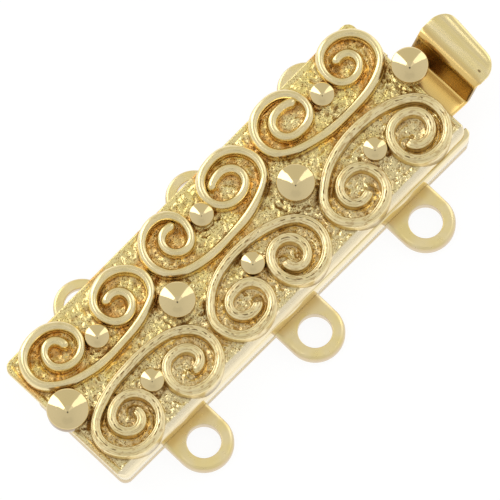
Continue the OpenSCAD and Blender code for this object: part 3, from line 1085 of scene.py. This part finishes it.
leaf = {
    "centre": -0.86,
    "width": 4.5,
    "neckWidth": 4.36,
    "thick": 0.4,
    "startX": -11.9,
    "startZ": 1.45,
    "mouthX": 13.75,
    "mouthZ": 1.942,
    "neckX": 15.0,
    "neckZ": 1.642,
    "riserX": 15.7,
    "tabZ": 3.192,
    "tipX": 17.55,          # end of the thumb tab on its centre line
    "slant": 5,             # of that end, in degrees
    "cornerRadius": 1.1,
    # length cut off each side of the bends at the mouth, the neck and the riser
    "bends": (0.5, 0.3, 0.28),
    "tabEdge": 0.2,         # length over which the tab's tip grows thin
    "tipThick": 0.002,
    "narrow": (15.6, 15.95),    # from the neck's width to the tab's
    "squareness": 7.0,      # of the section
    "showsFrom": 13.0,      # the path has more points from here on
    "step": 0.07,
    # columns: share of the tab's length, rise
    "relief": [(0, 0), (0.12, -0.03), (0.25, -0.05), (0.38, -0.025), (0.5, 0), (0.75, 0),
               (0.85, 0.04), (1, 0.02)],
    "across": 30,
    # columns: place along the leaf, then the share of painted reflection (first table) and of
    # painted shade (second)
    "warmReflection": [(12.5, 0.3), (13.6, 0.7), (14.3, 1), (15.0, 0.9), (15.5, 0.5), (15.75, 0.9),
               (15.95, 0.4), (16.2, 0)],
    "creaseShade": [(13.6, 0.4), (13.9, 0.1), (14.3, 0), (14.5, 0.12), (14.65, 0), (14.95, 0),
               (15.08, 0.75), (15.5, 0.75), (15.66, 0.2), (15.72, 0), (15.82, 0), (15.92, 0.25),
               (16.1, 0.1), (16.25, 0), (16.9, 0), (17.0, 0.12), (17.1, 0)],
}


def roundedPath(corners, bends, steps=8):
    # straight runs with parabolic bends
    path = [corners[0]]
    for before, corner, after, bend in zip(corners[:-2], corners[1:-1], corners[2:], bends):
        start = corner + (before - corner) * (bend / np.linalg.norm(before - corner))
        end = corner + (after - corner) * (bend / np.linalg.norm(after - corner))
        for t in np.linspace(0, 1, steps + 1):
            path.append((1 - t) ** 2 * start + 2 * t * (1 - t) * corner + t * t * end)
    path.append(corners[-1])
    return np.array(path)


def stripMesh(path, halfWidth, upper, lower, across):
    # sheet swept along a path in x and z; the arrays give its half width and its reach to each side
    tangent = np.gradient(path, axis=0)
    tangent /= np.linalg.norm(tangent, axis=1)[:, None]
    normal = np.stack([-tangent[:, 1], tangent[:, 0]], axis=1)
    a = np.linspace(math.pi, 0, across)
    power = 2 / leaf["squareness"]
    span = np.sign(np.cos(a)) * np.abs(np.cos(a)) ** power
    rise = np.sin(a) ** power
    ringY = np.concatenate([span, span[::-1][1:-1]])
    ringUp = np.concatenate([rise, -rise[::-1][1:-1]])
    points = []
    for k in range(len(path)):
        lift = np.where(ringUp > 0, ringUp * upper[k], ringUp * lower[k])
        x = path[k][0] + normal[k][0] * lift
        z = path[k][1] + normal[k][1] * lift
        points += list(zip(x, leaf["centre"] + ringY * halfWidth[k], z))
    faces = tubeFaces(len(path), len(ringY)) + tubeEnds(len(path), len(ringY))
    return np.array(points), faces


def denser(path, step, fromX):
    # adds points to the stretch that shows outside the box
    out = [path[0]]
    for a, b in zip(path[:-1], path[1:]):
        if a[0] < fromX < b[0]:
            a = a + (b - a) * (fromX - a[0]) / (b[0] - a[0])
            out.append(a)
        count = max(1, int(np.linalg.norm(b - a) / step)) if b[0] > fromX else 1
        out += [a + (b - a) * t for t in np.linspace(0, 1, count + 1)[1:]]
    return np.array(out)


def addLeaf(material):
    corners = [("startX", "startZ"), ("mouthX", "mouthZ"), ("neckX", "neckZ"), ("riserX", "tabZ"),
               ("tipX", "tabZ")]
    path = roundedPath([np.array([leaf[x], leaf[z]]) for x, z in corners], leaf["bends"])
    path = denser(path, leaf["step"], leaf["showsFrom"])
    fromTip = leaf["tipX"] - path[:, 0]
    radius = leaf["cornerRadius"]
    into = np.clip(radius - fromTip, 0, radius)
    half = leaf["width"] / 2 - radius + np.sqrt(np.clip(radius ** 2 - into ** 2, 0, None))
    narrow = 1 - softStep(path[:, 0], *leaf["narrow"])
    half -= (leaf["width"] - leaf["neckWidth"]) / 2 * narrow
    dome = np.sqrt(np.clip(1 - (1 - np.clip(fromTip / leaf["tabEdge"], 0, 1)) ** 2, 0, 1))
    tabLength = leaf["tipX"] - leaf["riserX"]
    relief = np.interp((path[:, 0] - leaf["riserX"]) / tabLength, *np.array(leaf["relief"]).T)
    thick, least = leaf["thick"] / 2, leaf["tipThick"]
    points, faces = stripMesh(path, half, (thick + relief) * dome + least, thick * dome + least,
                              leaf["across"])
    lean = np.clip((points[:, 0] - leaf["riserX"]) / tabLength, 0, 1)
    points[:, 0] += lean * (points[:, 1] - leaf["centre"]) * math.tan(math.radians(leaf["slant"]))
    piece = meshPiece("tongueLeaf", points, faces, material,
                      "leaf", ["tongue_leaf"])
    around = len(points) // len(path)
    for name in ("warmReflection", "creaseShade"):
        shares = np.interp(path[:, 0], *np.array(leaf[name]).T)
        setAttribute(piece, name, "FLOAT", "value", np.repeat(shares, around))


def addFold(material):
    # half a turn of sheet round the leaf's inner end
    a = np.radians(np.linspace(270, 90, tongue["foldSteps"]))
    radius = tongue["foldRadius"]
    path = np.stack([np.cos(a), np.sin(a)], axis=1) * radius + [tongue["foldX"], tongue["foldZ"]]
    half = np.full(len(path), leaf["width"] / 2)
    thick = np.full(len(path), (tongue["high"] - tongue["low"]) / 2)
    points, faces = stripMesh(path, half, thick, thick, tongue["foldAcross"])
    meshPiece("tongueFold", points, faces, material, "tongue", ["tongue_rail"])


satin = metal("satinSheet", satinSheet)
addBase(metal("baseSheet", baseSheet))
addTongueRail(satin)
addFold(satin)
addShell(metal("brightWall", brightWall))
addLeaf(metal("springLeaf", springLeaf))
print("box and tongue built")

# Light tent and floor

# The tent's apex is on the camera's axis, where its dark opening shows in the balls.
tent = {
    "level": 0.68,          # brightness of the cloth
    "sides": 0.12,          # how much more light it gives at the left and right, as a share
    # columns: angles round the apex where it begins and ends, angle from the apex, brightness
    "panels": [(36, 60, 38, 1.25), (124, 151, 25, 2.4)],
    "soft": 2.0,            # blur of the panels' sides, in degrees
    "nearSoft": 3,          # and of their ends towards the apex
    "far": (125, 4),        # angle from the apex where they end, and its blur
    "glow": 0.2,            # faint light between the apex and the panels
    "glowStart": (6, 8),
    "warmTurn": (60, 126),  # warmer cloth between the panels: angles round the apex
    "warmStart": (33, 5),
    "warmColor": (1.0, 0.98, 0.88, 1),
    "seamTurn": (215, 325), # darker seam of the cloth: angles round the apex at its ends
    "seamStart": (22, 2),
    "seamEnd": (35, 6),
    "seamBlur": 25,         # of its two ends, in degrees
    "seam": 0.92,           # its brightness, as a share
    "lens": 4.4,            # half angle of the dark opening at the apex
    "lensBlur": (-0.0015, 0.0005),  # round the cosine of that angle
    "lensDark": 0.85,
}


def lightTent():
    world = bpy.data.worlds.new("lightTent")
    bpy.context.scene.world = world
    graph = Graph(world)
    way = graph.node("ShaderNodeTexCoord", {}, {}, "Generated")
    depth, side, rise = (graph.dot(way, axis) for axis in (viewBack, viewRight, viewUp))
    turn = graph.maths("ARCTAN2", rise, side) * (180 / math.pi)    # round the apex, from the right
    fullTurn = turn + 360 * (1 - turn.step(-0.01, 0.01))           # the same from 0 to 360

    def wedge(angle, start, end, blur):
        return angle.step(start, start + blur) * (1 - angle.step(end - blur, end))

    def beyond(angle, blur):
        # 1 farther than an angle from the apex
        return 1 - depth.step(math.cos(math.radians(angle + blur)), math.cos(math.radians(angle)))

    level = tent["level"] * (1 + tent["sides"] * side * side)
    for start, end, near, strength in tent["panels"]:
        mask = wedge(turn, start, end, tent["soft"])
        level = level + mask * beyond(*tent["glowStart"]) * tent["glow"]
        mask = mask * beyond(near, tent["nearSoft"]) * (1 - beyond(*tent["far"]))
        level = level + mask * (strength - tent["level"])
    seam = wedge(fullTurn, *tent["seamTurn"], tent["seamBlur"])
    seam = seam * beyond(*tent["seamStart"]) * (1 - beyond(*tent["seamEnd"]))
    level = level * (1 - (1 - tent["seam"]) * seam)
    lens = math.cos(math.radians(tent["lens"]))
    lens = depth.step(*(lens + blur for blur in tent["lensBlur"]))
    level = level * (1 - tent["lensDark"] * lens)
    seen = graph.node("ShaderNodeLightPath", {}, {}, "Is Camera Ray")
    level = level + seen * (1.0 - level)    # the camera itself sees plain white
    warm = wedge(turn, *tent["warmTurn"], tent["soft"]) * beyond(*tent["warmStart"])
    color = graph.mixColor(warm * (1 - seen), (1, 1, 1, 1), tent["warmColor"])
    light = graph.node("ShaderNodeBackground", {}, {"Color": color, "Strength": level})
    graph.node("ShaderNodeOutputWorld", {}, {"Surface": light})


lightTable = {
    "glow": 0.89,           # light of its own
    "matt": (0.16, 0.16, 0.16, 1),
    "reach": 900.0,         # from its middle to its edges
    "gap": 0.02,            # under the clasp
}


def addFloor():
    material = bpy.data.materials.new("lightTable")
    graph = Graph(material)
    glow = {"Color": (1, 1, 1, 1), "Strength": lightTable["glow"]}
    glow = graph.node("ShaderNodeEmission", {}, glow)
    matt = graph.node("ShaderNodeBsdfDiffuse", {}, {"Color": lightTable["matt"]})
    both = graph.node("ShaderNodeAddShader", {}, {0: glow, 1: matt})
    graph.node("ShaderNodeOutputMaterial", {}, {"Surface": both})
    mesh = bpy.data.meshes.new("floor")
    reach = lightTable["reach"] * mm
    corners = [(x * reach, y * reach, 0) for x, y in ((-1, -1), (1, -1), (1, 1), (-1, 1))]
    mesh.from_pydata(corners, [], [(0, 1, 2, 3)])
    mesh.materials.append(material)
    floor = bpy.data.objects.new("floor", mesh)
    floor.location.z = cadLow.z - lightTable["gap"] * mm
    bpy.context.scene.collection.objects.link(floor)


lightTent()
addFloor()
bpy.context.scene.view_settings.view_transform = "Standard"
print("tent and floor lit")
